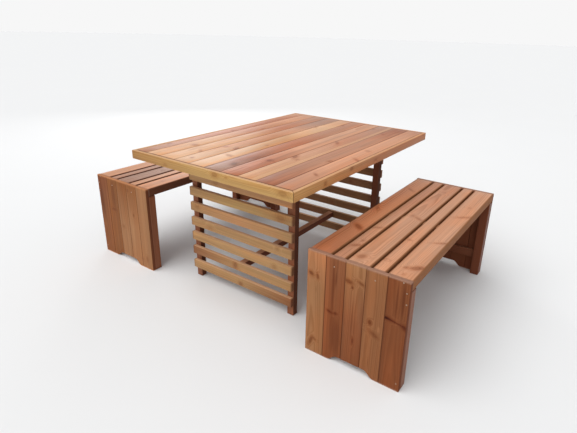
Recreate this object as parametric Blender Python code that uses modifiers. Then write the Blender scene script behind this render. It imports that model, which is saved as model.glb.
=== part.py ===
"""A garden table on two slatted end frames, with a plank bench along each of its long sides.

Metres, +Z up, the floor at zero, the origin under the middle of the whole set. X runs along the
table from its near end to its far end, and Y across it from its right side to its left side.
Each bench stands by itself and slides along Y, in under the table top and out again.
"""

import math

import bmesh
import bpy
from mathutils import Matrix, Vector

# Joints between pieces
touch_gap = 0.0003
mitre_gap = touch_gap * math.sqrt(2)
glue_overlap = 0.002
cut_overrun = 0.004
timber_arris = 0.002

# Table top
table_length = 1.382
table_width = 0.987
table_height = 0.750
top_board_cover = 0.0988
first_board_cover = 0.091
top_board_thickness = 0.022
fascia_height = 0.043
fascia_thickness = 0.018

# Table end frames
near_frame_inset = 0.214
far_frame_inset = 0.240
frame_side_inset = 0.1565
slat_count = 8
slat_height = 0.0475
slat_thickness = 0.020
lowest_slat_rise = 0.0585
highest_slat_drop = 0.0195
post_depth = 0.034
post_width = 0.038
bearer_height = 0.048
bearer_end_setback = 0.046
stretcher_width = 0.034
stretcher_height = 0.036
slats_under_stretcher_count = 1

# Benches
bench_length = 1.192
bench_height = 0.494
plank_thickness = 0.045
wide_plank_width = 0.100
narrow_plank_width = 0.0555
plank_spacing = 0.009
cladding_thickness = 0.018
cladding_board_count = 5
cladding_groove_depth = 0.0025
bench_post_depth = 0.041
bench_post_width = 0.045
upper_ledge_height = 0.045
lower_ledge_height = 0.045
lower_ledge_thickness = 0.020
lower_ledge_rise = 0.115
foot_width = 0.113
foot_curve_run = 0.046
foot_arch_rise = 0.029
foot_curve_steps = 8

# Where the benches stand: from the table's long edge, and back from its near end
bench_right_standoff = 0.025
bench_right_setback = 0.073
bench_left_standoff = 0.069
bench_left_setback = 0.103

# Sizes that follow
top_inner_length = table_length - 2 * fascia_thickness
top_inner_width = table_width - 2 * fascia_thickness
top_underside = table_height - top_board_thickness
boards_after_first = (top_inner_width - first_board_cover) / top_board_cover
top_board_count = 1 + math.ceil(boards_after_first - 0.15)
slat_length = table_width - 2 * frame_side_inset
slat_pitch_span = top_underside - highest_slat_drop - slat_height - lowest_slat_rise
slat_pitch = slat_pitch_span / (slat_count - 1)
bearer_bottom = top_underside - touch_gap - bearer_height
plank_widths = (
    wide_plank_width,
    narrow_plank_width,
    wide_plank_width,
    narrow_plank_width,
    wide_plank_width,
)
bench_width = sum(plank_widths) + plank_spacing * (len(plank_widths) - 1)
plank_bottom = bench_height - plank_thickness
cladding_inner_face = bench_length / 2 - cladding_thickness
bench_post_outer_face = cladding_inner_face - touch_gap
bench_post_inner_face = bench_post_outer_face - bench_post_depth
bench_post_top = plank_bottom - touch_gap
ledge_half_length = bench_width / 2 - bench_post_width - touch_gap
cladding_board_cover = bench_width / cladding_board_count
table_off_middle = (bench_right_standoff - bench_left_standoff) / 2

# Wood colours as red, green, blue, and roughness
top_wood = ((0.55, 0.30, 0.17), 0.5)
fascia_wood = ((0.58, 0.36, 0.15), 0.5)
slat_wood = ((0.42, 0.24, 0.12), 0.55)
post_wood = ((0.16, 0.07, 0.04), 0.6)
plank_wood = ((0.52, 0.25, 0.13), 0.5)
cladding_wood = ((0.33, 0.15, 0.07), 0.55)


def clear_scene():
    for old in list(bpy.data.objects):
        bpy.data.objects.remove(old, do_unlink=True)


def new_collection(name):
    collection = bpy.data.collections.new(name)
    bpy.context.scene.collection.children.link(collection)
    return collection


def wood(name, finish):
    """Oiled softwood in one plain colour."""
    colour, roughness = finish
    material = bpy.data.materials.new(name)
    material.use_nodes = True
    shader = material.node_tree.nodes["Principled BSDF"]
    shader.inputs["Base Color"].default_value = (*colour, 1)
    shader.inputs["Roughness"].default_value = roughness
    shader.inputs["Metallic"].default_value = 0
    return material


def new_parent(name, location, collection):
    empty = bpy.data.objects.new(name, None)
    empty.location = location
    collection.objects.link(empty)
    return empty


def box_mesh(name, size):
    """A box of this size round its own origin."""
    shape = bmesh.new()
    bmesh.ops.create_cube(shape, size=1)
    bmesh.ops.scale(shape, vec=size, verts=shape.verts)
    mesh = bpy.data.meshes.new(name)
    shape.to_mesh(mesh)
    shape.free()
    return mesh


def place(name, mesh, location, group, finish):
    """Puts a mesh under the group's parent and gives it its own wood."""
    parent, collection = group
    piece = bpy.data.objects.new(name, mesh)
    piece.parent = parent
    piece.location = location
    mesh.materials.append(wood(name + "_wood", finish))
    collection.objects.link(piece)
    return piece


def ease_arrises(piece):
    bevel = piece.modifiers.new("Arris", "BEVEL")
    bevel.width = timber_arris
    bevel.segments = 1
    bevel.limit_method = "ANGLE"


def timber(name, low, high, group, finish):
    """A straight piece of wood between two opposite corners, given from the group's parent."""
    low = Vector(low)
    high = Vector(high)
    piece = place(name, box_mesh(name, high - low), (low + high) / 2, group, finish)
    ease_arrises(piece)
    return piece


def make_top_boards(group):
    """Boards laid side by side between the fascias. The last takes the width that is left."""
    half_length = top_inner_length / 2 - touch_gap
    right_edge = -top_inner_width / 2
    for number in range(1, top_board_count + 1):
        left_edge = -top_inner_width / 2 + first_board_cover + (number - 1) * top_board_cover
        if number == top_board_count:
            left_edge = top_inner_width / 2
        low = (-half_length, right_edge + touch_gap, top_underside)
        high = (half_length, left_edge - touch_gap, table_height)
        timber(f"top_board_{number:02d}", low, high, group, top_wood)
        right_edge = left_edge


def make_fascia(name, length, location, turn, group):
    """One mitred edge board along X, its outer face at -Y, turned about Z to its side."""
    mesh = box_mesh(name, (length, fascia_thickness, fascia_height))
    for corner in mesh.vertices:
        if corner.co.y > 0:
            corner.co.x -= math.copysign(fascia_thickness, corner.co.x)
    piece = place(name, mesh, location, group, fascia_wood)
    piece.rotation_euler.z = turn
    ease_arrises(piece)


def make_fascias(group):
    middle = table_height - fascia_height / 2
    side = table_width / 2 - fascia_thickness / 2
    end = table_length / 2 - fascia_thickness / 2
    side_length = table_length - 2 * mitre_gap
    make_fascia("fascia_right", side_length, (0, -side, middle), 0, group)
    make_fascia("fascia_left", side_length, (0, side, middle), math.pi, group)
    make_fascia("fascia_near", table_width, (-end, 0, middle), -math.pi / 2, group)
    make_fascia("fascia_far", table_width, (end, 0, middle), math.pi / 2, group)


def across(end, inner, outer):
    """Low and high X of a piece between two distances from the middle, at end -1 or 1."""
    return tuple(sorted((end * inner, end * outer)))


def slat_bottom(number):
    """Height of a slat's lower edge, counted from the lowest slat, number 1."""
    return lowest_slat_rise + (number - 1) * slat_pitch


def slat_inner_face(inset):
    """Distance from the table's middle to the inner face of the slats of an end frame."""
    return table_length / 2 - inset - slat_thickness


def make_end_frame(place_name, end, inset, group):
    """Two posts under a bearer, with the slats across their outer faces."""
    slat_back = slat_inner_face(inset)
    slat_low, slat_high = across(end, slat_back, slat_back + slat_thickness)
    for number in range(1, slat_count + 1):
        bottom = slat_bottom(number)
        low = (slat_low, -slat_length / 2, bottom)
        high = (slat_high, slat_length / 2, bottom + slat_height)
        timber(f"slat_{place_name}_{number}", low, high, group, slat_wood)
    post_outer_face = slat_back - touch_gap
    post_low, post_high = across(end, post_outer_face - post_depth, post_outer_face)
    for side_name, side in (("right", -1), ("left", 1)):
        y_low, y_high = across(side, slat_length / 2 - post_width, slat_length / 2)
        low = (post_low, y_low, 0)
        high = (post_high, y_high, bearer_bottom - touch_gap)
        timber(f"post_{place_name}_{side_name}", low, high, group, post_wood)
    half_bearer = top_inner_width / 2 - bearer_end_setback
    low = (post_low, -half_bearer, bearer_bottom)
    high = (post_high, half_bearer, bearer_bottom + bearer_height)
    timber(f"bearer_{place_name}", low, high, group, post_wood)


def make_stretcher(group):
    """The rail along the middle, its ends butted against the middle of a low slat of each frame."""
    middle = slat_bottom(slats_under_stretcher_count + 1) + slat_height / 2
    near_end = touch_gap - slat_inner_face(near_frame_inset)
    far_end = slat_inner_face(far_frame_inset) - touch_gap
    low = (near_end, -stretcher_width / 2, middle - stretcher_height / 2)
    high = (far_end, stretcher_width / 2, middle + stretcher_height / 2)
    timber("stretcher", low, high, group, post_wood)


def panel_outline():
    """Corner points of an end panel seen square on: straight sides and top, and two feet."""
    half_width = bench_width / 2
    arch_half = half_width - foot_width
    curve = []
    for step in range(foot_curve_steps + 1):
        along = step / foot_curve_steps
        rise = foot_arch_rise * (1 - math.cos(math.pi * along)) / 2
        curve.append((arch_half - foot_curve_run * along, rise))
    mirrored = [(-sideways, rise) for sideways, rise in reversed(curve)]
    left_side = [(-half_width, 0), (-half_width, bench_height)]
    right_side = [(half_width, bench_height), (half_width, 0)]
    return left_side + right_side + curve + mirrored


def extruded(name, points, thickness):
    """A flat outline as a closed mesh, standing in the YZ plane round X zero."""
    outline = bpy.data.curves.new(name, "CURVE")
    outline.dimensions = "2D"
    outline.fill_mode = "BOTH"
    outline.extrude = thickness / 2
    spline = outline.splines.new("POLY")
    spline.points.add(len(points) - 1)
    for point, (u, v) in zip(spline.points, points):
        point.co = (u, v, 0, 1)
    spline.use_cyclic_u = True
    guide = bpy.data.objects.new(name, outline)
    guide.rotation_euler = (math.pi / 2, 0, math.pi / 2)
    bpy.context.scene.collection.objects.link(guide)
    bpy.context.view_layer.update()
    evaluated = guide.evaluated_get(bpy.context.evaluated_depsgraph_get())
    mesh = bpy.data.meshes.new_from_object(evaluated)
    mesh.transform(guide.matrix_world)
    shape = bmesh.new()
    shape.from_mesh(mesh)
    bmesh.ops.remove_doubles(shape, verts=shape.verts, dist=touch_gap / 2)
    bmesh.ops.recalc_face_normals(shape, faces=shape.faces)
    shape.to_mesh(mesh)
    shape.free()
    bpy.data.objects.remove(guide, do_unlink=True)
    return mesh


def hidden_helper(name, mesh, parent, location, cutters):
    helper = bpy.data.objects.new(name, mesh)
    helper.parent = parent
    helper.location = location
    helper.hide_render = True
    helper.display_type = "WIRE"
    cutters.objects.link(helper)
    return helper


def groove_mesh(name):
    """Square bars on edge, one over each joint between the cladding boards."""
    side = (cladding_groove_depth + cut_overrun) * math.sqrt(2)
    height = bench_height + 2 * cut_overrun
    shape = bmesh.new()
    for number in range(1, cladding_board_count):
        bar = bmesh.ops.create_cube(shape, size=1)["verts"]
        bmesh.ops.scale(shape, vec=(side, side, height), verts=bar)
        bmesh.ops.rotate(shape, matrix=Matrix.Rotation(math.pi / 4, 3, "Z"), verts=bar)
        joint = number * cladding_board_cover - bench_width / 2
        bmesh.ops.translate(shape, vec=(0, joint, bench_height / 2), verts=bar)
    mesh = bpy.data.meshes.new(name)
    shape.to_mesh(mesh)
    shape.free()
    return mesh


def combine(piece, helper, operation):
    boolean = piece.modifiers.new(helper.name, "BOOLEAN")
    boolean.operation = operation
    boolean.object = helper
    boolean.solver = "EXACT"


def make_ledge(name, end, thickness, bottom, top, parent, cutters):
    """A cross ledge glued to the inside of the cladding, between the posts."""
    face = cladding_inner_face + glue_overlap
    x_low, x_high = across(end, cladding_inner_face - thickness, face)
    size = (x_high - x_low, 2 * ledge_half_length, top - bottom)
    location = ((x_low + x_high) / 2, 0, (top + bottom) / 2)
    return hidden_helper(name, box_mesh(name, size), parent, location, cutters)


def make_panel(name, end, group, cutters):
    """Upright cladding boards in one panel, with a ledge under the planks and one above the feet."""
    middle = end * (bench_length / 2 - cladding_thickness / 2)
    mesh = extruded(name, panel_outline(), cladding_thickness)
    panel = place(name, mesh, (middle, 0, 0), group, cladding_wood)
    parent = group[0]
    grooves_name = name + "_grooves"
    grooves_at = (end * (bench_length / 2 + cut_overrun), 0, 0)
    grooves = groove_mesh(grooves_name)
    combine(panel, hidden_helper(grooves_name, grooves, parent, grooves_at, cutters), "DIFFERENCE")
    ledge_top = plank_bottom - touch_gap
    upper = make_ledge(
        name + "_upper_ledge",
        end,
        bench_post_depth,
        ledge_top - upper_ledge_height,
        ledge_top,
        parent,
        cutters,
    )
    combine(panel, upper, "UNION")
    lower = make_ledge(
        name + "_lower_ledge",
        end,
        lower_ledge_thickness,
        lower_ledge_rise,
        lower_ledge_rise + lower_ledge_height,
        parent,
        cutters,
    )
    combine(panel, lower, "UNION")


def make_planks(name, inward, group):
    """Seat planks along the bench, numbered from the one nearest the table."""
    half_length = cladding_inner_face - touch_gap
    from_inner_edge = 0
    for number, width in enumerate(plank_widths, start=1):
        near_edge = inward * (bench_width / 2 - from_inner_edge)
        far_edge = near_edge - inward * width
        low = (-half_length, min(near_edge, far_edge), plank_bottom)
        high = (half_length, max(near_edge, far_edge), bench_height)
        timber(f"{name}_plank_{number}", low, high, group, plank_wood)
        from_inner_edge += width + plank_spacing


def make_bench_posts(name, inward, group):
    """A post in each corner, behind the cladding and under the outer planks."""
    for end_name, end in (("near", -1), ("far", 1)):
        x_low, x_high = across(end, bench_post_inner_face, bench_post_outer_face)
        for side_name, side in (("inner", inward), ("outer", -inward)):
            y_low, y_high = across(side, bench_width / 2 - bench_post_width, bench_width / 2)
            low = (x_low, y_low, 0)
            high = (x_high, y_high, bench_post_top)
            timber(f"{name}_post_{end_name}_{side_name}", low, high, group, post_wood)


def make_bench(name, side, standoff, setback, collection, cutters):
    """One bench on side -1, the right, or 1, the left. Its parent stands under its middle."""
    from_middle = table_width / 2 + standoff + bench_width / 2
    along = bench_length / 2 + setback - table_length / 2
    parent = new_parent(name, (along, table_off_middle + side * from_middle, 0), collection)
    group = (parent, collection)
    inward = -side
    make_planks(name, inward, group)
    make_bench_posts(name, inward, group)
    make_panel(name + "_panel_near", -1, group, cutters)
    make_panel(name + "_panel_far", 1, group, cutters)


def make_table(collection):
    group = (new_parent("table", (0, table_off_middle, 0), collection), collection)
    make_top_boards(group)
    make_fascias(group)
    make_end_frame("near", -1, near_frame_inset, group)
    make_end_frame("far", 1, far_frame_inset, group)
    make_stretcher(group)


def main():
    clear_scene()
    collection = new_collection("garden_table_and_benches")
    cutters = new_collection("cutters")
    make_table(collection)
    right_place = (bench_right_standoff, bench_right_setback)
    left_place = (bench_left_standoff, bench_left_setback)
    make_bench("bench_right", -1, *right_place, collection, cutters)
    make_bench("bench_left", 1, *left_place, collection, cutters)


main()
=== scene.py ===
"""Looks of the garden table and bench set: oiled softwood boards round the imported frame.

Metres, +Z up, in the frame of the CAD. X runs along the table from its near end to its far end,
Y across it from the right bench to the left bench. Every timber is cut from its own piece of
wood: growth rings round a pith that lies outside it, knots where the real boards show them,
and arrises rounded over with a sander.
"""

import math
import random
from collections import namedtuple

import bmesh
import bpy
from bpy.props import FloatProperty, FloatVectorProperty, IntProperty, PointerProperty
from bpy.types import Operator, Panel, PropertyGroup
from mathutils import Matrix, Vector


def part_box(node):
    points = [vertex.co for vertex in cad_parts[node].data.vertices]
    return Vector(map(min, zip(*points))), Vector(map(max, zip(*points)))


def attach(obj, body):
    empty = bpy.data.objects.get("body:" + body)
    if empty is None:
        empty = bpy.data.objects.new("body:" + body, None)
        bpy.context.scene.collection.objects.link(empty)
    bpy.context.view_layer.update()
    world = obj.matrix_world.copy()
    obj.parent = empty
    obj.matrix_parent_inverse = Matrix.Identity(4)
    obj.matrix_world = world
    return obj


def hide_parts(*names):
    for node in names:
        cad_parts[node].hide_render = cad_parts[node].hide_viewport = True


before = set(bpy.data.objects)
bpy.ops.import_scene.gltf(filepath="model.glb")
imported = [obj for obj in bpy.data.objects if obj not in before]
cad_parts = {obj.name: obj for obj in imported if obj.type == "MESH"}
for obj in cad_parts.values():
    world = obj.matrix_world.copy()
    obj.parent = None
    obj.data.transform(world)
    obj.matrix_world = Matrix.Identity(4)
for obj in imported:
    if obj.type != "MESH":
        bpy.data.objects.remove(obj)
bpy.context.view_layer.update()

bl_info = {
    "name": "Garden Table and Bench Set",
    "version": (1, 0, 0),
    "blender": (4, 5, 0),
    "location": "View3D > Sidebar > Garden Set",
    "description": "Dresses the packed garden table and its two benches as oiled softwood",
    "category": "Object",
}

X, Y, Z = 0, 1, 2
NEARLY = 1e-5
BENCHES = ("bench_right", "bench_left")
PANEL_THICKNESS = 0.018
PANEL_JOINT = 0.0004
PANEL_STEPS = 16
FOOT_WIDTH, FOOT_SLOPE, ARCH_HEIGHT = 0.113, 0.046, 0.029
LEDGE_HEIGHT, LOWER_LEDGE_BOTTOM, LOWER_LEDGE_THICKNESS = 0.045, 0.095, 0.020
# Distance from the table's side of an end panel, and height
SCREW_PLACES = (
    (0.128, 0.453),
    (0.307, 0.455),
    (0.418, 0.486),
    (0.435, 0.447),
    (0.438, 0.400),
    (0.433, 0.036),
)
# Skins of a timber: depth under its surface where each begins and where it is full
SAWN_END = (0.0012, 0.0004)
THIRSTY_END = (0.0080, 0.0035)
ARRIS = (0.0034, 0.0010)
# What a board's colour is multiplied by, and what is added to it where it is rubbed
WARMED = (1.10, 0.94, 0.80)
LATE_WOOD = (0.62, 0.50, 0.40)
PITCH_STREAK = (0.46, 0.31, 0.22)
BLEACHED = (1.25, 1.30, 1.35)
KNOT_HALO = (0.70, 0.47, 0.31)
GRIMY = (0.34, 0.22, 0.14)
RUBBED = (0.05, 0.035, 0.02)

# Place along the grain and across the face in the frame, half length, half width, turn, darkness
Knot = namedtuple("Knot", "along across half_length half_width turn dark")
# tones from one end to the other; ring contrast; pith beside and below the middle; sapwood from
# this far outside the pith; wear of the long arrises and of the end ones, pale above 0 and grimy
# below; tone and strength of the end grain; strength and depth of the painted shade on the inner
# side, depth below 0 for the lower side; strength, width and tone of the painted light (pale tone)
# and painted shade (dark tone) on the narrow sides
Cut = namedtuple("Cut", "tones contrast pith sapwood worn end shelter flank gloss knots streaks seed")
PLAIN = Cut(
    tones="tan tan",
    contrast=0.5,
    pith=(0.03, -0.06),
    sapwood=0,
    worn=(0.5, 0.5),
    end=("umber", 0.6),
    shelter=(0, 1),
    flank=(0, 1, "umber"),
    gloss=0.2,
    knots=(),
    streaks=(),
    seed=1,
)


def face_knots(*rows):
    """Knots from rows of along, across, half length, half width, all in mm, darkness and turn."""
    return tuple(
        Knot(*(place / 1000 for place in row[:4]), row[5] if len(row) > 5 else 0, row[4])
        for row in rows
    )


TOP_KNOTS = face_knots(
    (-269, -218, 24, 9, 0.95, 0.45),
    (-308, -259, 8, 5, 0.6),
    (-400, -163, 12, 10, 0.85),
    (-547, -76, 17, 11, 0.85, 0.7),
    (104, -232, 24, 7, 0.6, 0.6),
    (-343, 98, 18, 8, 0.9, 0.6),
    (-457, 40, 8, 20, 0.6, -0.3),
    (-596, 145, 8, 6, 0.7, 0.5),
    (-345, 170, 9, 11, 0.55, 0.5),
    (-487, 204, 20, 6, 0.5, 0.8),
    (-421, 316, 11, 17, 0.6, -0.4),
    (-491, 432, 10, 7, 0.55),
    (-41, 405, 13, 7, 0.5, 0.5),
    (534, -18, 18, 5, 0.5, 0.4),
    (569, -215, 14, 7, 0.45, 0.4),
    (-445, -454, 13, 5, 0.7, 0.8),
    (-131, -482, 21, 7, 0.6, 0.9),
    (56, -446, 8, 13, 0.4, -0.4),
    (-230, -392, 9, 6, 0.45),
    (-185, 26, 9, 7, 0.4),
    (370, 85, 16, 5, 0.4, 0.6),
    (110, 300, 12, 7, 0.35, 0.5),
    (470, -330, 10, 6, 0.4, 0.4),
)
NEAR_FASCIA_KNOTS = face_knots(
    (-96, 737, 13, 9, 0.6),
    (-463, 736, 17, 9, 0.5),
    (-163, 736, 5, 4, 0.4),
    (226, 721, 9, 6, 0.3),
)
RIGHT_FASCIA_KNOTS = face_knots(
    (-463, 727, 8, 7, 0.6),
    (-239, 740, 10, 8, 0.6),
    (6, 728, 11, 4, 0.35),
)
NEAR_SLAT_KNOTS = face_knots(
    (-290, 512, 17, 13, 0.45),
    (265, 430, 13, 9, 0.35),
    (175, 335, 11, 8, 0.3),
    (-273, 352, 7, 6, 0.45),
    (-255, 247, 8, 8, 0.4),
    (3, 170, 9, 13, 0.7),
    (-32, 72, 9, 8, 0.75),
    (120, 600, 10, 8, 0.3),
)
SEAT_KNOTS = face_knots(
    (-500, -962, 22, 9, 0.75, -0.9),
    (-233, -962, 24, 6, 0.5, -1.0),
    (117, -957, 26, 8, 0.5, -0.9),
    (-518, -927, 7, 5, 0.35),
    (-573, -937, 8, 5, 0.35),
    (-283, -837, 7, 6, 0.45),
    (-508, -832, 8, 7, 0.3),
    (-543, -747, 14, 11, 0.65, -0.6),
    (-36, -782, 18, 7, 0.55, 0.9),
    (-18, -747, 8, 6, 0.4),
    (-468, -682, 20, 7, 0.55, -0.9),
    (-253, -672, 22, 6, 0.5, -1.0),
    (-413, -684, 7, 5, 0.45),
    (-296, -600, 24, 9, 0.9, 0.8),
    (-28, -562, 22, 7, 0.6, 0.3),
    (337, -592, 20, 7, 0.45, 0.8),
    (410, -760, 10, 8, 0.3),
    (260, -940, 9, 7, 0.3),
    (-298, 755, 10, 7, 0.4),
    (-430, 590, 9, 7, 0.3),
    (60, 700, 10, 8, 0.35),
    (280, 930, 12, 8, 0.4),
    (-80, 880, 8, 6, 0.35),
)
PANEL_KNOTS = face_knots(
    (388, -561, 6, 10, 0.9, -0.5),
    (384, -593, 9, 4, 0.9, 0.2),
    (55, -568, 15, 5, 0.9, -0.3),
    (72, -586, 4, 7, 0.55, -0.5),
    (240, -653, 4, 8, 0.85, -0.4),
    (240, -683, 4, 7, 0.75, 0.3),
    (412, -737, 6, 11, 0.85, -0.2),
    (420, -790, 4, 11, 0.7, -0.4),
    (390, -754, 4, 3, 0.95),
    (145, -770, 10, 3, 0.8),
    (265, -840, 7, 5, 1.0),
    (217, -861, 6, 15, 0.55, -0.5),
    (315, -905, 5, 17, 1.0, -0.08),
    (309, -942, 2.5, 22, 0.8, -0.15),
    (300, -980, 6, 9, 0.9, -0.6),
    (305, 857, 5, 14, 0.45),
    (312, 674, 8, 5, 0.4),
    (455, 705, 7, 5, 0.4),
    (215, 782, 8, 9, 0.35),
    (60, 587, 11, 5, 0.5),
    (50, 629, 7, 7, 0.3),
)
PANEL_STREAKS = face_knots(
    (320, -587, 22, 4, 0.3),
    (350, -668, 150, 8, 0.6),
    (120, -690, 130, 26, 0.5),
    (400, -681, 45, 5, 0.5),
    (240, -761, 110, 5, 0.4),
    (70, -847, 45, 3, 0.45),
    (400, -941, 105, 5, 0.6),
    (410, -966, 100, 8, 0.6),
    (250, -640, 320, 13, -0.9),
    (246, -880, 20, 9, -1.0),
    (314, -903, 5, 17, 1.0),
    (250, 905, 260, 12, -0.7),
    (250, 688, 260, 10, -0.5),
    (330, 960, 140, 20, 0.5),
    (400, 850, 110, 22, 0.45),
    (300, 790, 160, 6, 0.4),
)

# Board by board: tones from the near end, ring contrast, pith, and where sapwood begins
TOP_BOARDS = (
    ("rose salmon salmon salmon rose", 0.40, (0.06, -0.05), 0.0),
    ("russet rose rose rose russet", 0.55, (-0.02, -0.09), 0.0),
    ("honey blush rose mauve", 0.50, (0.07, -0.03), 0.095),
    ("copper copper salmon blush blush blush", 0.45, (0.01, -0.07), 0.0),
    ("mauve russet copper copper rose rose rose", 0.60, (-0.05, -0.06), 0.0),
    # The cream at the near ends of boards 6 to 9 is partly painted sheen of the sky mirrored in the oiled
    # top
    ("cream cream honey honey cream cream blush", 0.35, (0.05, -0.09), 0.0),
    ("cream honey amber amber blush mauve mauve", 0.45, (-0.04, -0.05), 0.0),
    ("cream honey honey amber copper rose mauve", 0.40, (0.02, -0.10), 0.0),
    ("cream honey honey copper amber salmon blush", 0.40, (0.07, -0.06), 0.0),
    ("rose rose copper copper copper copper blush", 0.50, (-0.06, -0.04), 0.0),
)
SEAT_PLANKS = {
    "bench_right": (
        ("copper ember ember salmon", 0.75, (0.05, -0.07)),
        ("rose blush rose rose", 0.60, (-0.03, -0.05)),
        ("blush blush rose", 0.60, (0.02, -0.10)),
        ("salmon blush blush", 0.55, (0.04, -0.06)),
        ("blush blush blush", 0.55, (-0.06, -0.07)),
    ),
    "bench_left": (
        ("salmon salmon salmon", 0.50, (0.05, -0.07)),
        ("blush blush blush", 0.50, (-0.03, -0.05)),
        ("mauve mauve rose", 0.60, (0.02, -0.10)),
        ("mauve mauve blush", 0.50, (0.04, -0.06)),
        ("blush blush blush", 0.50, (-0.06, -0.07)),
    ),
}
PANEL_BOARDS = {
    "bench_right_near": (
        "cedar cedar cedar amber",
        "oxblood oxblood chestnut",
        "oxblood chestnut cedar",
        "sienna sienna",
        "oxblood oxblood",
    ),
    "bench_right_far": (
        "sienna cedar",
        "cedar cedar",
        "oxblood chestnut",
        "sienna chestnut",
        "chestnut sienna",
    ),
    "bench_left_near": (
        "cedar cedar",
        "cedar cedar cocoa",
        "cedar cedar cocoa",
        "cocoa cocoa",
        "cocoa oxblood",
    ),
    "bench_left_far": (
        "sienna sienna",
        "chestnut oxblood",
        "cedar cedar",
        "chestnut sienna",
        "cedar sienna",
    ),
}
# From the right end to the left end
SLATS = (
    "sienna tan tan",
    "tan tan sienna",
    "tan tan",
    "tan tan",
    # The honey and straw on slats 5 to 7 are painted light where the table top shades them
    "tan honey tan",
    "tan straw tan",
    "honey tan",
    "mauve mauve",
)


def measure(name, description, default):
    """A length that a user may change."""
    return FloatProperty(name=name, description=description, default=default, unit="LENGTH")


def stain(name, description, *colour):
    """A colour that a user may change."""
    return FloatVectorProperty(name=name, description=description, default=colour, subtype="COLOR")


class GardenSetTimber(PropertyGroup):
    """How the boards are finished by hand."""

    arris_radius: measure(
        "Arris radius", "Radius that the long edges of the boards are rounded to", 0.0022
    )
    arris_segments: IntProperty(
        name="Arris segments",
        description="Faces round each rounded edge",
        default=3,
        min=1,
    )
    seat_radius: measure(
        "Seat radius", "Radius that the long edges of the seat planks are rounded to", 0.0058
    )
    board_radius: measure("Top board radius", "Radius of the long edges of the table top's boards", 0.0015)
    end_radius: measure("End radius", "Radius of the edges round the sawn ends", 0.0009)
    hollow: measure("Hollow", "Most that drying has drawn a face inward", 0.0006)
    station_spacing: measure("Station spacing", "Distance between the cuts that let a board wander", 0.075)
    ring_spacing: measure("Ring spacing", "Thickness of one year's growth", 0.0036)


class GardenSetTones(PropertyGroup):
    """Colours of the oiled wood."""

    # Pale sapwood, and also painted light: the lit narrow faces of slats and edge boards and part of the
    # top's sheen
    cream: stain("Cream", "Pale sapwood", 0.585, 0.345, 0.197)
    honey: stain("Honey", "Golden board", 0.49, 0.243, 0.105)
    salmon: stain("Salmon", "Light pinkish board", 0.55, 0.265, 0.15)
    blush: stain("Blush", "Dusty pink plank", 0.495, 0.257, 0.154)
    rose: stain("Rose", "Pinkish brown board", 0.41, 0.193, 0.112)
    amber: stain("Amber", "Orange board", 0.44, 0.185, 0.08)
    ember: stain("Ember", "Reddish orange plank", 0.565, 0.23, 0.11)
    copper: stain("Copper", "Orange brown plank", 0.4, 0.15, 0.073)
    russet: stain("Russet", "Reddish brown board", 0.28, 0.1, 0.05)
    mauve: stain("Mauve", "Greyish weathered wood", 0.35, 0.2, 0.142)
    straw: stain("Straw", "Yellow edge board", 0.45, 0.27, 0.098)
    ochre: stain("Ochre", "Brown gold edge board", 0.33, 0.175, 0.062)
    gold: stain("Gold", "Golden side board", 0.54, 0.285, 0.105)
    tan: stain("Tan", "Greyish tan slat", 0.39, 0.222, 0.095)
    cedar: stain("Cedar", "Golden brown upright board", 0.31, 0.145, 0.062)
    sienna: stain("Sienna", "Mid brown upright board", 0.252, 0.102, 0.041)
    chestnut: stain("Chestnut", "Warm brown upright board", 0.22, 0.08, 0.033)
    cocoa: stain("Cocoa", "Dark golden brown board", 0.225, 0.08, 0.022)
    oxblood: stain("Oxblood", "Dark red heartwood", 0.192, 0.062, 0.022)
    brick: stain("Brick", "Reddish stained post", 0.24, 0.09, 0.045)
    umber: stain("Umber", "Dark stained post", 0.15, 0.046, 0.022)
    # Painted shade: the dark brown given to post sides and planks that lie in shade
    soot: stain("Soot", "Darkest side of a post", 0.085, 0.026, 0.013)
    weathered: stain("Weathered", "Greyed end grain", 0.3, 0.165, 0.115)
    knot: stain("Knot", "Tint of the heart of a knot", 0.58, 0.5, 0.45)


class GardenSetFixings(PropertyGroup):
    """Screws and spacers."""

    head_radius: measure("Head radius", "Radius of a screw's head", 0.0027)
    head_height: measure("Head height", "How far a screw's head stands out of the board", 0.0005)
    spacer_length: measure("Spacer length", "Length of the bits of wood between the seat planks", 0.044)
    spacer_offset: measure(
        "Spacer offset", "How far the spacers stand from mid-length toward the near end", 0.025
    )
    spacer_drop: measure("Spacer drop", "How far the spacers lie under the seat's surface", 0.008)
    spacer_height: measure("Spacer height", "Height of the spacers", 0.022)
    steel: stain("Steel", "Colour of the screws", 0.56, 0.44, 0.33)


class GardenSetStage(PropertyGroup):
    """Floor, light and camera."""

    floor: stain("Floor", "Colour of the floor", 0.74, 0.74, 0.74)
    sky: stain("Sky", "Colour of the light from all round", 0.97, 0.985, 1.0)
    sky_strength: FloatProperty(
        name="Sky strength", description="Strength of the light from above", default=0.60
    )
    horizon_strength: FloatProperty(
        name="Horizon strength", description="Strength of the light level with the eye", default=0.93
    )
    key_strength: FloatProperty(
        name="Key strength", description="Strength of the wide soft light above", default=2.3
    )
    key_spread: FloatProperty(
        name="Key spread",
        description="Angle over which the wide light reaches",
        default=math.radians(60),
        subtype="ANGLE",
    )
    sheen_power: FloatProperty(
        name="Sheen power",
        description="Power of the panel that the table top mirrors",
        default=30,
        unit="POWER",
    )
    lens: FloatProperty(
        name="Lens",
        description="Focal length of the camera",
        default=28.384,
        unit="CAMERA",
    )


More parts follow.
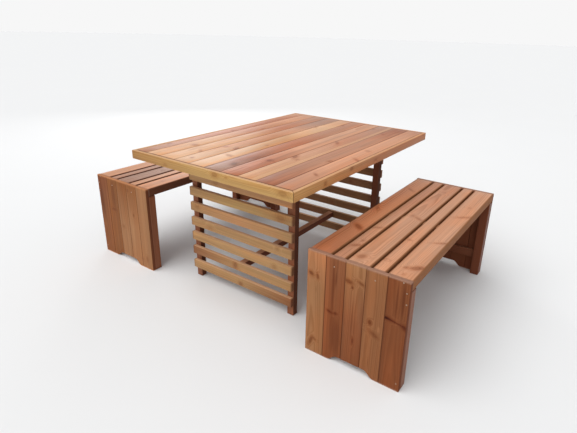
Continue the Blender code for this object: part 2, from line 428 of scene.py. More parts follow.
class Wire:
    """A shader socket that takes part in sums. A colour or vector is scaled, added or multiplied."""

    def __init__(self, graph, socket):
        self.graph = graph
        self.socket = socket
        self.wide = socket.type in ("VECTOR", "RGBA")

    def sum(self, kind, first, second):
        wide = [getattr(value, "wide", isinstance(value, tuple)) for value in (first, second)]
        if not any(wide):
            return self.graph.math(kind, first, second)
        if kind == "MULTIPLY" and not all(wide):
            colour, factor = (first, second) if wide[0] else (second, first)
            return self.graph.vector("SCALE", {0: colour, "Scale": factor})
        return self.graph.vector(kind, {0: first, 1: second})

    def __add__(self, other):
        return self.sum("ADD", self, other)

    def __radd__(self, other):
        return self.sum("ADD", other, self)

    def __sub__(self, other):
        return self.sum("SUBTRACT", self, other)

    def __rsub__(self, other):
        return self.sum("SUBTRACT", other, self)

    def __mul__(self, other):
        return self.sum("MULTIPLY", self, other)

    def __rmul__(self, other):
        return self.sum("MULTIPLY", other, self)

    def __truediv__(self, other):
        return self.sum("DIVIDE", self, other)

    def __abs__(self):
        return self.graph.math("ABSOLUTE", self)

    def root(self):
        return self.graph.math("SQRT", self)

    def part(self):
        return self.graph.math("FRACT", self)

    def whole(self):
        return self.graph.math("FLOOR", self)

    def most(self, other):
        return self.graph.math("MAXIMUM", self, other)

    def least(self, other):
        return self.graph.math("MINIMUM", self, other)

    def rise(self, low, high):
        """0 below low, 1 above high, and a smooth rise between them."""
        values = {"Value": self, "From Min": low, "From Max": high}
        return self.graph.add("ShaderNodeMapRange", {"interpolation_type": "SMOOTHSTEP"}, values)

    def fall(self, low, high):
        return 1 - self.rise(low, high)


class Graph:
    """The nodes of one material or of the world, and the shader node that they end in."""

    def __init__(self, owner, shader="Principled BSDF"):
        self.owner = owner
        owner.use_nodes = True
        self.tree = owner.node_tree
        self.shader = self.tree.nodes[shader]

    def plug(self, socket, value):
        if isinstance(value, Wire):
            self.tree.links.new(value.socket, socket)
        elif isinstance(value, (int, float)) and socket.type == "VECTOR":
            socket.default_value = (value, value, value)
        elif socket.type == "RGBA" and len(value) == 3:
            socket.default_value = (*value, 1)
        else:
            socket.default_value = value

    def add(self, kind, settings, values, output=0):
        """One node: its settings first, then the values or links of its sockets."""
        node = self.tree.nodes.new(kind)
        for setting, value in settings.items():
            if setting == "stops":
                self.set_stops(node.color_ramp, value)
            else:
                setattr(node, setting, value)
        for socket, value in values.items():
            self.plug(node.inputs[socket], value)
        return Wire(self, node.outputs[output])

    def set_stops(self, ramp, stops):
        for _ in range(len(stops) - len(ramp.elements)):
            ramp.elements.new(0.5)
        for element, (place, colour) in zip(ramp.elements, stops):
            element.position = place
            element.color = (*colour, 1)

    def math(self, operation, *values):
        return self.add("ShaderNodeMath", {"operation": operation}, dict(enumerate(values)))

    def vector(self, operation, values):
        return self.add("ShaderNodeVectorMath", {"operation": operation}, values)

    def length(self, vector):
        settings = {"operation": "LENGTH"}
        return self.add("ShaderNodeVectorMath", settings, {0: vector}, "Value")

    def blend(self, factor, first, second):
        """A colour from first to second."""
        settings = {"data_type": "RGBA"}
        return self.add("ShaderNodeMix", settings, {0: factor, 6: first, 7: second}, 2)

    def point(self, x, y, z):
        return self.add("ShaderNodeCombineXYZ", {}, {"X": x, "Y": y, "Z": z})

    def noise(self, vector, detail=2.0):
        values = {"Vector": vector, "Scale": 1.0, "Detail": detail}
        return self.add("ShaderNodeTexNoise", {}, values)

    def place(self):
        return self.add("ShaderNodeTexCoord", {}, {}, "Object")

    def part_of(self, vector, axis):
        return self.add("ShaderNodeSeparateXYZ", {}, {0: vector}, axis)

    def finish(self, colour, roughness, height, relief):
        """Ends the graph in the shader: what varies feeds its colour, roughness and bump."""
        values = {"Height": height, "Distance": relief, "Strength": 1.0}
        self.plug(self.shader.inputs["Base Color"], colour)
        self.plug(self.shader.inputs["Roughness"], roughness)
        self.plug(self.shader.inputs["Normal"], self.add("ShaderNodeBump", {}, values))
        return self.owner


def tone_of(name):
    return tuple(getattr(bpy.context.scene.garden_set_tones, name))


def shade(colour, factor):
    return tuple(channel * factor for channel in colour)


def paint_wood(piece, box, cut):
    """Gives a timber its own wood, with the grain along its longest side."""
    low, high = box
    middle = (low + high) / 2
    half = (high - low) / 2
    axes = run, face, thin = sorted((X, Y, Z), key=lambda axis: -half[axis])
    g = Graph(bpy.data.materials.new(piece.name + "_wood"))
    centred = g.add("ShaderNodeMapping", {}, {"Vector": g.place(), "Location": -middle})
    along, across, depth = sides = [g.part_of(centred, axis) for axis in axes]
    seed = cut.seed * 3.7

    def reach_of(spot):
        """Distance from the middle of a knot or streak, 1 at its rim."""
        values = {
            "Vector": flat,
            "Location": (spot.along - middle[run], spot.across - middle[face], 0),
            "Rotation": (0, 0, spot.turn),
            "Scale": (spot.half_length, spot.half_width, 1),
        }
        return g.length(g.add("ShaderNodeMapping", {"vector_type": "TEXTURE"}, values))

    def skin(side, axis, depths):
        """0 deep in the wood and 1 at its surface."""
        begin, full = depths
        return side.rise(half[axis] - begin, half[axis] - full)

    # Slow wander of the log, and the rough flow of its fibres
    slow = g.noise(g.point(along * 1.1 + seed, across * 2.5, depth * 2.5), 1.0) - 0.5
    bend = g.noise(g.point(along * 2.6, across * 9 + seed, depth * 9)) - 0.5
    flow = g.noise(g.point(along * 9, across * 90, depth * 90 + seed)) - 0.5

    # Growth rings round the pith, pushed aside by the knots
    flat = g.point(along + flow * 0.004, across + bend * 0.006, 0)
    hearts = [(knot, reach_of(knot) * 0.8) for knot in cut.knots]
    swell = sum(reach.fall(0.2, 3.6) * (knot.half_width * 1.6) for knot, reach in hearts)
    beside = across - cut.pith[0] + slow * 0.035
    below = depth - cut.pith[1] + slow * 0.02
    radius = (beside * beside + below * below).root() + bend * 0.006 + flow * 0.0011 + swell
    years = radius / bpy.context.scene.garden_set_timber.ring_spacing
    season = years.part()
    settings = {"noise_dimensions": "1D"}
    year_mark = g.add("ShaderNodeTexWhiteNoise", settings, {"W": years.whole() + seed}, "Value")
    late = season.rise(0.25, 0.86) * season.fall(0.9, 1.0) * (0.35 + year_mark * 0.65)

    # Tone: from end to end, broad streaks, fine fibres
    drift = g.noise(g.point(along * 3.0 + seed, across * 14, depth * 14))
    broad = g.noise(g.point(along * 0.9, across * 34 + seed, depth * 34), 3.0)
    fibre = g.noise(g.point(along * 14, across * 650, depth * 650 + seed))
    streaky = g.noise(g.point(along * 1.3 + seed, across * 130, depth * 130))
    tones = cut.tones.split()
    stops = [(step / (len(tones) - 1), tone_of(tone)) for step, tone in enumerate(tones)]
    share = along / (2 * half[run]) + 0.5 + (drift - 0.5) * 0.22
    colour = g.add("ShaderNodeValToRGB", {"stops": stops}, {"Fac": share}, "Color")
    colour = colour * (0.55 + broad * 0.58 + streaky * 0.32)
    colour = g.blend(drift.rise(0.42, 0.72) * 0.7, colour, colour * WARMED)
    if cut.sapwood:
        sap = radius.rise(cut.sapwood, cut.sapwood + 0.012)
        colour = g.blend(sap * 0.5, colour, tone_of("cream"))
    colour = g.blend(late * cut.contrast, colour * 1.06, colour * LATE_WOOD)
    colour = colour * (0.93 + fibre * 0.14)

    # Dark and pale streaks, then the knots over them
    for streak in cut.streaks:
        streaked = colour * (PITCH_STREAK if streak.dark > 0 else BLEACHED)
        colour = g.blend(reach_of(streak).fall(0.3, 1.15) * abs(streak.dark), colour, streaked)
    bumps = late * 0.10 + fibre * 0.10
    for knot, reach in hearts:
        halo = reach.fall(0.8, 2.6) * (0.75 * knot.dark)
        colour = g.blend(halo, colour, colour * KNOT_HALO)
        grown = (reach * 3.2 + flow).part()
        heart = g.blend(grown * 0.45, colour * tone_of("knot"), colour)
        core = reach.fall(0.75, 1.20)
        colour = g.blend(core * knot.dark, colour, heart)
        bumps = bumps + core * 0.15

    # Painted shade: the inner side, or the lower side where the depth is below 0, is darkened as if it lay
    # in shade
    ends = skin(abs(along), run, SAWN_END)
    dull = ends * 0.3
    strength, width = cut.shelter
    if strength:
        shadow_colour = g.blend(0.25, shade(tone_of("umber"), 1.35), colour * 0.5)
        inward = depth * math.copysign(1, width)
        shade_mask = skin(inward, thin, (abs(width), abs(width) / 4)) * strength
        colour = g.blend(shade_mask, colour, shadow_colour)
        dull = dull + shade_mask * 0.3
    # Painted light and shade on the narrow sides: a pale tone lightens them as if lit, a dark tone darkens
    # them as if in shade
    strength, width, tone = cut.flank
    if strength:
        narrow_side_mask = skin(abs(across), face, (width, width / 3)) * strength
        colour = g.blend(narrow_side_mask, colour, tone_of(tone))
        dull = dull + narrow_side_mask * 0.4

    # Sawn ends drink the oil, and the arrises are rubbed pale or hold grime
    drunk = skin(abs(along), run, THIRSTY_END) * 0.75
    colour = g.blend(drunk.most(ends) * cut.end[1], colour, tone_of(cut.end[0]))
    edges = [skin(abs(side), axis, ARRIS) for side, axis in zip(sides, axes)]
    for arris, worn in zip((edges[1] * edges[2], edges[0] * edges[1].most(edges[2])), cut.worn):
        rubbed = arris * (0.35 + drift.rise(0.32, 0.68) * 0.85)
        changed = colour * 1.12 + RUBBED if worn > 0 else colour * GRIMY
        colour = g.blend(rubbed.least(1.0) * abs(worn), colour, changed)

    roughness = 0.42 + (broad - 0.5) * 0.25 + dull + late * 0.06 + (fibre - 0.5) * 0.12
    g.shader.inputs["Specular IOR Level"].default_value = cut.gloss
    piece.data.materials.clear()
    piece.data.materials.append(g.finish(colour, roughness, bumps, 0.0010))


def deselect_all():
    bpy.ops.object.select_all(action="DESELECT")


def edit_shape():
    bpy.ops.object.mode_set(mode="EDIT")


def leave_shape():
    bpy.ops.object.mode_set(mode="OBJECT")


def settle(name):
    """Names the object just made and its mesh, and takes its place into the mesh."""
    piece = bpy.context.object
    piece.name = name
    piece.data.name = name
    bpy.ops.object.transform_apply(location=True, rotation=True, scale=True)
    return piece


def box_between(*sides):
    """Lowest and highest corner of a box, from the two places of its sides along each axis."""
    return Vector([min(pair) for pair in sides]), Vector([max(pair) for pair in sides])


def add_block(name, low, high):
    """A block between two opposite corners, with its place in its mesh."""
    deselect_all()
    bpy.ops.mesh.primitive_cube_add(size=1, location=(low + high) / 2, scale=high - low)
    return settle(name)


def select_parts(block, edges=None, verts=None):
    """Selects, in edit mode, the edges or points that pass a test."""
    bpy.ops.mesh.select_all(action="DESELECT")
    bpy.context.tool_settings.mesh_select_mode = (edges is None, edges is not None, False)
    shape = bmesh.from_edit_mesh(block.data)
    for edge in shape.edges if edges else ():
        edge.select_set(edges(edge.verts[0].co, edge.verts[1].co))
    for vert in shape.verts if verts else ():
        vert.select_set(verts(vert.co))
    shape.select_flush_mode()
    bmesh.update_edit_mesh(block.data)


def cut_stations(axis, places):
    """Cuts the whole shape in edit mode with planes square to an axis."""
    normal = [0, 0, 0]
    normal[axis] = 1
    for place in places:
        point = [0, 0, 0]
        point[axis] = place
        bpy.ops.mesh.select_all(action="SELECT")
        bpy.ops.mesh.bisect(plane_co=point, plane_no=normal)


def bevel_edges(block, edges, share):
    """Rounds edges in edit mode to a share of the arris radius."""
    timber = bpy.context.scene.garden_set_timber
    select_parts(block, edges=edges)
    radius = timber.arris_radius * share
    bpy.ops.mesh.bevel(offset=radius, segments=timber.arris_segments, affect="EDGES")


def round_arrises(block, run, radius):
    """Rounds the long edges, and takes the sharpness off the sawn ends."""
    timber = bpy.context.scene.garden_set_timber
    lows = Vector([min(v.co[axis] for v in block.data.vertices) for axis in range(3)])
    highs = Vector([max(v.co[axis] for v in block.data.vertices) for axis in range(3)])
    sides = [axis for axis in range(3) if axis != run]

    def long_edge(a, b):
        return abs(a[run] - b[run]) > NEARLY and all(abs(a[s] - b[s]) < NEARLY for s in sides)

    def end_edge(a, b):
        return any(
            abs(a[run] - end) < NEARLY and abs(b[run] - end) < NEARLY
            for end in (lows[run], highs[run])
        )

    edit_shape()
    select_parts(block, edges=long_edge)
    bpy.ops.mesh.bevel(offset=radius, segments=timber.arris_segments, affect="EDGES")
    select_parts(block, edges=end_edge)
    bpy.ops.mesh.bevel(offset=timber.end_radius, segments=2, affect="EDGES")
    length = highs[run] - lows[run]
    count = max(2, round(length / timber.station_spacing))
    cut_stations(run, [lows[run] + length * step / count for step in range(1, count)])
    leave_shape()


def let_wander(block):
    """Draws the faces inward by slow uneven hollows, as drying does."""
    texture = bpy.data.textures.new(block.name + "_hollows", "CLOUDS")
    texture.noise_scale = 0.16
    modifier = block.modifiers.new("Hollows", "DISPLACE")
    modifier.texture = texture
    modifier.texture_coords = "LOCAL"
    modifier.mid_level = 1.0
    modifier.strength = bpy.context.scene.garden_set_timber.hollow
    bpy.ops.object.modifier_apply(modifier=modifier.name)
    bpy.data.textures.remove(texture)


def smooth():
    bpy.ops.object.shade_smooth_by_angle(angle=math.radians(35))


def make_timber(name, low, high, radius=None):
    """A straight board, planed, rounded over and a little hollow."""
    block = add_block(name, low, high)
    run = max((X, Y, Z), key=lambda axis: high[axis] - low[axis])
    round_arrises(block, run, radius or bpy.context.scene.garden_set_timber.arris_radius)
    let_wander(block)
    smooth()
    return block


def copy_to(source, name, offset, turned=False):
    """A copy with its own mesh, moved by offset and turned end for end where asked."""
    deselect_all()
    source.select_set(True)
    bpy.context.view_layer.objects.active = source
    bpy.ops.object.duplicate(linked=False)
    if turned:
        corners = [Vector(corner) for corner in source.bound_box]
        middle = sum(corners, Vector()) / len(corners)
        bpy.ops.transform.rotate(value=math.pi, orient_axis="Z", center_override=middle)
    bpy.ops.transform.translate(value=offset)
    return settle(name)


def fit(piece, body, nodes, box, cut):
    """Hangs a finished piece on its body in place of its CAD nodes, and paints it."""
    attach(piece, body)
    if nodes:
        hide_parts(*nodes)
    paint_wood(piece, box, cut)


def make_like(nodes, radius=None):
    """One timber for each node. Nodes of one size share a shape: it is made once and copied."""
    made = {}
    shapes = {}
    for node in nodes:
        low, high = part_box(node)
        size = tuple(round(side, 4) for side in high - low)
        if size in shapes:
            source, source_low = shapes[size]
            turned = len(made) % 2 == 1
            made[node] = copy_to(source, node + "_timber", low - source_low, turned)
        else:
            made[node] = make_timber(node + "_timber", low, high, radius)
            shapes[size] = (made[node], low)
    return made


def knots_within(knots, low, high, run, face):
    """The knots whose middles lie on a board, with a little over for those cut by a joint."""
    reach = 0.004
    return tuple(
        knot
        for knot in knots
        if low[run] < knot.along < high[run]
        and low[face] - reach < knot.across < high[face] + reach
    )


def chance_knots(low, high, run, face, seed):
    """Up to two small knots for a board whose knots the photograph doesn't show."""
    draw = random.Random(seed)
    found = []
    for _ in range(draw.randint(0, 2)):
        along = draw.uniform(low[run] + 0.05, high[run] - 0.05)
        across = draw.uniform(low[face] + 0.012, high[face] - 0.012)
        size = draw.uniform(0.005, 0.011)
        found.append(Knot(along, across, size, size * 0.8, 0, draw.uniform(0.3, 0.65)))
    return tuple(found)


class GARDENSET_OT_table_top(Operator):
    """Lay the ten boards of the table top"""

    bl_idname = "gardenset.table_top"
    bl_label = "Table top"

    def execute(self, context):
        names = [f"top_board_{number:02d}" for number in range(1, 11)]
        made = make_like(names, context.scene.garden_set_timber.board_radius)
        for number, (name, looks) in enumerate(zip(names, TOP_BOARDS)):
            tones, contrast, pith, sapwood = looks
            low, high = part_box(name)
            cut = PLAIN._replace(
                tones=tones,
                contrast=contrast,
                pith=pith,
                sapwood=sapwood,
                worn=(-0.65, -0.8),
                end=("umber", 0.95),
                # Painted shade on the underside and on the narrow sides in the joints
                shelter=(1, -0.0016),
                flank=(0.5, 0.0018, "umber"),
                gloss=0.12,
                knots=knots_within(TOP_KNOTS, low, high, X, Y),
                seed=number + 1,
            )
            fit(made[name], "table", [name], (low, high), cut)
        return {"FINISHED"}


def mitre(block, low, high, run, inner):
    """Slants both ends of an edge board, toward its inner face."""
    thin = Y if run == X else X
    inner_place = high[thin] if inner > 0 else low[thin]
    thickness = high[thin] - low[thin]
    edit_shape()
    for end, sign in ((low[run], 1), (high[run], -1)):
        select_parts(
            block,
            verts=lambda co: abs(co[run] - end) < NEARLY and abs(co[thin] - inner_place) < NEARLY,
        )
        shift = [0, 0, 0]
        shift[run] = sign * thickness
        bpy.ops.transform.translate(value=shift)
    leave_shape()


class GARDENSET_OT_edge_boards(Operator):
    """Mitre the four edge boards round the table top"""

    bl_idname = "gardenset.edge_boards"
    bl_label = "Edge boards"

    def execute(self, context):
        boards = (
            ("fascia_near", Y, 1, "straw straw ochre", NEAR_FASCIA_KNOTS),
            ("fascia_right", X, 1, "gold amber amber", RIGHT_FASCIA_KNOTS),
            ("fascia_far", Y, -1, "salmon salmon", ()),
            ("fascia_left", X, -1, "straw gold amber", ()),
        )
        for number, (name, run, inner, tones, knots) in enumerate(boards):
            low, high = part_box(name)
            block = add_block(name + "_timber", low, high)
            mitre(block, low, high, run, inner)
            round_mitred(block, run)
            let_wander(block)
            smooth()
            cut = PLAIN._replace(
                tones=tones,
                contrast=0.45,
                pith=(0.02, -0.05),
                worn=(0.8, 0.8),
                end=("gold", 0.1),
                # Painted light on the top and bottom faces, and painted shade on the inner face
                flank=(0.5, 0.0015, "cream"),
                gloss=0.12,
                shelter=(1, inner * 0.0045),
                knots=knots or chance_knots(low, high, run, Z, number),
                seed=number + 21,
            )
            fit(block, "table", [name], (low, high), cut)
        return {"FINISHED"}


def round_mitred(block, run):
    """Rounds the long edges of a mitred board and leaves the mitres crisp."""
    timber = bpy.context.scene.garden_set_timber
    sides = [axis for axis in range(3) if axis != run]

    def long_edge(a, b):
        return all(abs(a[side] - b[side]) < NEARLY for side in sides)

    edit_shape()
    bevel_edges(block, long_edge, 0.7)
    places = [vert.co[run] for vert in bmesh.from_edit_mesh(block.data).verts]
    low, high = min(places) + 0.02, max(places) - 0.02
    count = round((high - low) / timber.station_spacing)
    cut_stations(run, [low + (high - low) * step / count for step in range(count + 1)])
    leave_shape()


class GARDENSET_OT_slats(Operator):
    """Screw the slats across the table's end frames"""

    bl_idname = "gardenset.slats"
    bl_label = "Slats"

    def execute(self, context):
        near = [f"slat_near_{number}" for number in range(1, 9)]
        far = [f"slat_far_{number}" for number in range(1, 9)]
        made = make_like(near + far)
        for number, name in enumerate(near + far):
            low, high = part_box(name)
            if name in near:
                knots = knots_within(NEAR_SLAT_KNOTS, low, high, Y, Z)
            else:
                knots = chance_knots(low, high, Y, Z, number)
            cut = PLAIN._replace(
                tones=SLATS[number % len(SLATS)],
                contrast=0.4,
                pith=(0.01 * (number % 4) - 0.02, 0.05 + 0.01 * (number % 3)),
                worn=(0.35, 0.35),
                end=("umber", 0.75),
                # Painted shade on the inner face, painted light on the top and bottom faces
                shelter=(0.6, 0.0012 if name in near else -0.0012),
                flank=(0.85, 0.0012, "cream"),
                knots=knots,
                seed=number + 31,
            )
            fit(made[name], "table", [name], (low, high), cut)
        return {"FINISHED"}


class GARDENSET_OT_frame_timbers(Operator):
    """Stain the posts, bearers and stretcher, whose CAD solids stay"""

    bl_idname = "gardenset.frame_timbers"
    bl_label = "Posts, bearers and stretcher"

    def execute(self, context):
        dark = PLAIN._replace(
            tones="umber umber",
            contrast=0.55,
            pith=(0.03, -0.04),
            worn=(0.3, 0.3),
            end=("umber", 0.8),
            gloss=0.12,
        )
        names = [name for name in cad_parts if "post" in name or "bearer" in name]
        for number, name in enumerate(sorted(names) + ["stretcher"]):
            # Painted shade on the side of each post that faces the inside of the set
            post_shade_band = (1, 0.002 if "near" in name else -0.002)
            if name == "stretcher":
                # Painted light on the stretcher's top and bottom faces
                cut = dark._replace(flank=(1, 0.002, "salmon"))
            elif name.startswith("bench"):
                # The far bench posts are painted darker umber as painted shade
                tones = "brick brick" if "near" in name else "umber umber"
                cut = dark._replace(tones=tones, shelter=post_shade_band)
            else:
                # Painted shade on the narrow sides of the table posts
                cut = dark._replace(tones="brick brick", shelter=post_shade_band, flank=(0.9, 0.0015, "soot"))
            paint_wood(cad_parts[name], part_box(name), cut._replace(seed=number + 51))
        return {"FINISHED"}


class GARDENSET_OT_seats(Operator):
    """Lay the seat planks of both benches"""

    bl_idname = "gardenset.seats"
    bl_label = "Seat planks"

    def execute(self, context):
        names = [f"{bench}_plank_{number}" for bench in BENCHES for number in range(1, 6)]
        made = make_like(names, context.scene.garden_set_timber.seat_radius)
        for bench in BENCHES:
            for number, (tones, contrast, pith) in enumerate(SEAT_PLANKS[bench], start=1):
                name = f"{bench}_plank_{number}"
                low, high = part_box(name)
                cut = PLAIN._replace(
                    tones=tones,
                    contrast=contrast,
                    pith=pith,
                    worn=(-0.3, -0.3),
                    end=("weathered", 0.7),
                    # Painted shade on the underside and on the narrow sides, darkest on the left bench in
                    # the table's shade
                    shelter=(1, -0.002),
                    flank=(0.9, 0.0085, "sienna" if bench == "bench_right" else "soot"),
                    gloss=0.1,
                    knots=knots_within(SEAT_KNOTS, low, high, X, Y),
                    seed=number + 71 + 10 * BENCHES.index(bench),
                )
                fit(made[name], bench, [name], (low, high), cut)
        return {"FINISHED"}


class GARDENSET_OT_spacers(Operator):
    """Set the small bits of wood between the seat planks"""

    bl_idname = "gardenset.spacers"
    bl_label = "Spacers"

    def execute(self, context):
        places = [(bench, number) for bench in BENCHES for number in range(1, 5)]
        boxes = [self.gap_box(context.scene.garden_set_fixings, *place) for place in places]
        first_low, first_high = boxes[0]
        spacers = [make_timber("bench_right_spacer_1", first_low, first_high)]
        for (bench, number), (low, _) in zip(places[1:], boxes[1:]):
            spacers.append(copy_to(spacers[0], f"{bench}_spacer_{number}", low - first_low))
        for seed, (spacer, (bench, number), box) in enumerate(zip(spacers, places, boxes)):
            cut = PLAIN._replace(tones="sienna sienna", contrast=0.4, seed=seed + 91)
            fit(spacer, bench, [], box, cut)
        return {"FINISHED"}

    def gap_box(self, fixings, bench, number):
        """Corners of a spacer in the gap after a plank, a little nearer the near end."""
        edges = sorted(
            corner[Y]
            for plank in (number, number + 1)
            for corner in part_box(f"{bench}_plank_{plank}")
        )
        low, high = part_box(f"{bench}_plank_{number}")
        middle = (low[X] + high[X]) / 2 - fixings.spacer_offset
        half = fixings.spacer_length / 2
        top = high[Z] - fixings.spacer_drop
        return box_between((middle - half, middle + half), edges[1:3], (top - fixings.spacer_height, top))


def foot_rise(place, middle, half_width):
    """Height of the foot contour over the floor at a place across the panel."""
    from_edge = half_width - abs(place - middle)
    along = min(max((from_edge - FOOT_WIDTH) / FOOT_SLOPE, 0), 1)
    return ARCH_HEIGHT * (1 - math.cos(math.pi * along)) / 2


def make_panel_board(name, low, high, middle, half_width):
    """An upright board of an end panel, its lower end shaped to the feet."""
    block = add_block(name, low, high)
    width = high[Y] - low[Y]
    places = [low[Y] + width * step / PANEL_STEPS for step in range(PANEL_STEPS + 1)]
    edit_shape()
    cut_stations(Y, places[1:-1])
    for place in places:
        rise = foot_rise(place, middle, half_width)
        if rise > 0:
            select_parts(
                block,
                verts=lambda co: abs(co.y - place) < NEARLY and abs(co.z - low[Z]) < NEARLY,
            )
            bpy.ops.transform.translate(value=(0, 0, rise))

    def upright_edge(a, b):
        on_side = min(abs(a.y - low[Y]), abs(a.y - high[Y])) < NEARLY
        return on_side and abs(a.y - b.y) < NEARLY and abs(a.x - b.x) < NEARLY

    def top_edge(a, b):
        return abs(a.z - high[Z]) < NEARLY and abs(b.z - high[Z]) < NEARLY and abs(a.x - b.x) < NEARLY

    bevel_edges(block, lambda a, b: upright_edge(a, b) or top_edge(a, b), 0.8)
    cut_stations(Z, [low[Z] + 0.06 + 0.07 * step for step in range(6)])
    leave_shape()
    let_wander(block)
    smooth()
    return block


class GARDENSET_OT_end_panels(Operator):
    """Board up the ends of both benches and fix the ledges behind the boards"""

    bl_idname = "gardenset.end_panels"
    bl_label = "End panels"

    def execute(self, context):
        for bench in BENCHES:
            for end in ("near", "far"):
                self.make_panel(bench, end)
        return {"FINISHED"}

    def make_panel(self, bench, end):
        node = f"{bench}_panel_{end}"
        low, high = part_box(node)
        inward = 1 if end == "near" else -1
        outer = low[X] if end == "near" else high[X]
        inner = outer + inward * PANEL_THICKNESS
        middle = (low[Y] + high[Y]) / 2
        half_width = (high[Y] - low[Y]) / 2
        cover = 2 * half_width / 5
        gap = PANEL_JOINT / 2
        for number in range(1, 6):
            right = low[Y] + cover * (number - 1)
            sides = (right + gap, right + cover - gap)
            corners = box_between((outer, inner), sides, (low[Z], high[Z]))
            from_table = 6 - number if bench == "bench_right" else number
            name = f"{node}_board_{from_table}"
            board = make_panel_board(name, *corners, middle, half_width)
            if end == "near":
                knots = knots_within(PANEL_KNOTS, *corners, Z, Y)
                streaks = knots_within(PANEL_STREAKS, *corners, Z, Y)
            else:
                knots = chance_knots(*corners, Z, Y, number + len(bench))
                streaks = ()
            cut = PLAIN._replace(
                tones=PANEL_BOARDS[f"{bench}_{end}"][from_table - 1],
                contrast=0.5,
                pith=(0.02 * (number % 3) - 0.02, 0.07),
                worn=(-0.25, 0.8),
                end=("weathered" if bench == "bench_right" else "amber", 0.8),
                # Painted shade on the inner face and on the narrow edges
                shelter=(1, inward * 0.002),
                flank=(0.9, 0.0014, "umber"),
                gloss=0.1,
                knots=knots,
                streaks=streaks,
                seed=number + 101 + 7 * len(node),
            )
            nodes = [node] if number == 1 else []
            fit(board, bench, nodes, corners, cut)
        self.make_ledges(bench, end, inner, inward, low, high)

    def make_ledges(self, bench, end, face, inward, low, high):
        plank_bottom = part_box(f"{bench}_plank_1")[0][Z]
        post_low, post_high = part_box(f"{bench}_post_{end}_inner")
        post = post_high[Y] - post_low[Y]
        sides = (low[Y] + post + 0.0005, high[Y] - post - 0.0005)
        ledges = (
            ("upper", plank_bottom - 0.0003 - LEDGE_HEIGHT, post_high[X] - post_low[X]),
            ("lower", LOWER_LEDGE_BOTTOM, LOWER_LEDGE_THICKNESS),
        )
        for number, (place, bottom, thickness) in enumerate(ledges):
            depth = (face, face + inward * thickness)
            corners = box_between(depth, sides, (bottom, bottom + LEDGE_HEIGHT))
            ledge = make_timber(f"{bench}_panel_{end}_{place}_ledge", *corners)
            cut = PLAIN._replace(
                tones="rose umber rose",
                contrast=0.5,
                worn=(0.4, 0.4),
                # Painted shade on the inner face
                shelter=(1, inward * 0.002),
                gloss=0.1,
                seed=number + 131 + len(f"{bench}_panel_{end}"),
            )
            fit(ledge, bench, [], corners, cut)


class GARDENSET_OT_screws(Operator):
    """Drive the screws that show on the outside of the end panels"""

    bl_idname = "gardenset.screws"
    bl_label = "Screws"

    def execute(self, context):
        fixings = context.scene.garden_set_fixings
        spots = []
        for bench in BENCHES:
            for end in ("near", "far"):
                low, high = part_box(f"{bench}_panel_{end}")
                for number, (from_table, height) in enumerate(SCREW_PLACES, start=1):
                    across = high[Y] - from_table if bench == "bench_right" else low[Y] + from_table
                    face = low[X] if end == "near" else high[X]
                    spot = Vector((face, across, height))
                    spots.append((f"{bench}_screw_{end}_{number}", bench, end, spot))
        first_name, _, _, first_spot = spots[0]
        first = self.make_screw(first_name, first_spot, fixings)
        reach = [vert.co.x for vert in first.data.vertices]
        mirrored = Vector((2 * first_spot.x - min(reach) - max(reach), 0, 0))
        screws = [first]
        for name, _, end, spot in spots[1:]:
            offset = spot - first_spot
            if end == "far":
                offset += mirrored
            screws.append(copy_to(first, name, offset, turned=end == "far"))
        steel = self.make_steel(fixings)
        for screw, (_, bench, _, _) in zip(screws, spots):
            screw.data.materials.clear()
            screw.data.materials.append(steel)
            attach(screw, bench)
        return {"FINISHED"}

    def make_screw(self, name, spot, fixings):
        """A screw's head with a recess for the driver, looking toward -X."""
        deselect_all()
        depth = 0.004
        bpy.ops.mesh.primitive_cylinder_add(
            vertices=24,
            radius=fixings.head_radius,
            depth=depth,
            location=spot + Vector((depth / 2 - fixings.head_height, 0, 0)),
            rotation=(0, -math.pi / 2, 0),
        )
        screw = settle(name)
        front = min(v.co.x for v in screw.data.vertices)
        edit_shape()
        select_parts(screw, verts=lambda co: abs(co.x - front) < NEARLY)
        bpy.context.tool_settings.mesh_select_mode = (False, False, True)
        bpy.ops.mesh.inset(thickness=fixings.head_radius * 0.18)
        bpy.ops.transform.translate(value=(-fixings.head_height * 0.35, 0, 0))
        bpy.ops.mesh.inset(thickness=fixings.head_radius * 0.34)
        bpy.ops.mesh.extrude_region_move(TRANSFORM_OT_translate={"value": (0.0012, 0, 0)})
        leave_shape()
        smooth()
        return screw

    def make_steel(self, fixings):
        g = Graph(bpy.data.materials.new("screw_steel"))
        scuffs = g.noise(g.place() * 900.0, 3.0)
        colour = g.blend(scuffs.rise(0.35, 0.7), fixings.steel, shade(fixings.steel, 0.7))
        g.shader.inputs["Metallic"].default_value = 0.85
        return g.finish(colour, 0.28 + scuffs * 0.25, scuffs, 0.00005)


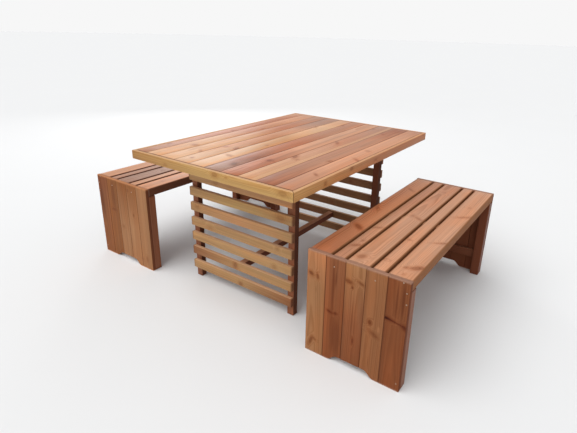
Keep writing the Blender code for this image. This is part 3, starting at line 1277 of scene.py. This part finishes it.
class GARDENSET_OT_stage(Operator):
    """Lay the floor, hang the lights and set up the camera"""

    bl_idname = "gardenset.stage"
    bl_label = "Stage"

    def execute(self, context):
        stage = context.scene.garden_set_stage
        self.lay_floor(stage)
        self.hang_lights(context, stage)
        self.set_camera(context, stage)
        context.scene.view_settings.view_transform = "Standard"
        return {"FINISHED"}

    def lay_floor(self, stage):
        deselect_all()
        bpy.ops.mesh.primitive_circle_add(vertices=96, radius=60, fill_type="NGON")
        floor = bpy.context.object
        floor.name = "floor"
        g = Graph(bpy.data.materials.new("pale_floor"))
        cloud = g.noise(g.place() * 1.5, 3.0)
        g.shader.inputs["Specular IOR Level"].default_value = 0.0
        colour = g.blend(cloud * 0.5, stage.floor, shade(stage.floor, 0.97))
        floor.data.materials.append(g.finish(colour, 0.75 + cloud * 0.1, cloud, 0.0))

    def hang_lights(self, context, stage):
        world = bpy.data.worlds.new("studio")
        g = Graph(world, "Background")
        toward = g.add("ShaderNodeTexCoord", {}, {}, "Generated")
        climb = g.part_of(toward, Z).rise(0.06, 0.30)
        above = shade(stage.sky, stage.sky_strength)
        level = (stage.horizon_strength,) * 3
        g.plug(g.shader.inputs["Color"], g.blend(climb, level, above))
        context.scene.world = world
        self.hang_light("key", "SUN", (-3.0, 1.2, 5.5), (0, 0, 0))
        context.object.data.energy = stage.key_strength
        context.object.data.angle = stage.key_spread
        self.hang_light("sheen", "AREA", (3.0, 3.9, 2.1), (-0.4, 0.1, 0.75))
        context.object.data.shape = "DISK"
        context.object.data.size = 1.8
        context.object.data.energy = stage.sheen_power
        context.object.visible_camera = False

    def hang_light(self, name, kind, place, target):
        deselect_all()
        bpy.ops.object.light_add(type=kind, location=place)
        light = bpy.context.object
        light.name = name
        away = Vector(place) - Vector(target)
        light.rotation_euler = away.to_track_quat("Z", "Y").to_euler()

    def set_camera(self, context, stage):
        """The camera fitted to the photograph's corners."""
        deselect_all()
        yaw, pitch, roll = math.radians(34.23), math.radians(20.46), math.radians(1.57)
        flat = math.cos(pitch)
        ahead = Vector((flat * math.cos(yaw), flat * math.sin(yaw), -math.sin(pitch)))
        level = Vector((math.sin(yaw), -math.cos(yaw), 0))
        upright = level.cross(ahead)
        right = level * math.cos(roll) + upright * math.sin(roll)
        up = upright * math.cos(roll) - level * math.sin(roll)
        turn = Matrix((right, up, -ahead)).transposed()
        bpy.ops.object.camera_add(location=(-2.0056, -1.4581, 1.342), rotation=turn.to_euler())
        camera = bpy.context.object
        camera.name = "camera"
        camera.data.lens = stage.lens
        camera.data.sensor_width = 36
        camera.data.shift_x = -0.02698
        camera.data.shift_y = -0.03530
        camera.data.clip_end = 200
        context.scene.camera = camera


class GARDENSET_PT_panel(Panel):
    """Lists the steps of dressing the set"""

    bl_label = "Garden Set"
    bl_idname = "GARDENSET_PT_panel"
    bl_space_type = "VIEW_3D"
    bl_region_type = "UI"
    bl_category = "Garden Set"

    def draw(self, context):
        for step in STEPS:
            self.layout.operator(step.bl_idname)
        for group in ("timber", "tones", "fixings", "stage"):
            settings = getattr(context.scene, "garden_set_" + group)
            column = self.layout.column(heading=group.title())
            for name in settings.__annotations__:
                column.prop(settings, name)


STEPS = (
    GARDENSET_OT_table_top,
    GARDENSET_OT_edge_boards,
    GARDENSET_OT_slats,
    GARDENSET_OT_frame_timbers,
    GARDENSET_OT_seats,
    GARDENSET_OT_spacers,
    GARDENSET_OT_end_panels,
    GARDENSET_OT_screws,
    GARDENSET_OT_stage,
)
SETTINGS = (
    ("garden_set_timber", GardenSetTimber),
    ("garden_set_tones", GardenSetTones),
    ("garden_set_fixings", GardenSetFixings),
    ("garden_set_stage", GardenSetStage),
)


def register():
    for name, group in SETTINGS:
        bpy.utils.register_class(group)
        setattr(bpy.types.Scene, name, PointerProperty(type=group))
    for step in STEPS:
        bpy.utils.register_class(step)
    bpy.utils.register_class(GARDENSET_PT_panel)


def unregister():
    bpy.utils.unregister_class(GARDENSET_PT_panel)
    for step in reversed(STEPS):
        bpy.utils.unregister_class(step)
    for name, group in reversed(SETTINGS):
        delattr(bpy.types.Scene, name)
        bpy.utils.unregister_class(group)


def main():
    register()
    bpy.ops.gardenset.table_top()
    bpy.ops.gardenset.edge_boards()
    bpy.ops.gardenset.slats()
    bpy.ops.gardenset.frame_timbers()
    bpy.ops.gardenset.seats()
    bpy.ops.gardenset.spacers()
    bpy.ops.gardenset.end_panels()
    bpy.ops.gardenset.screws()
    bpy.ops.gardenset.stage()
    bpy.context.view_layer.update()


if __name__ == "__main__":
    main()
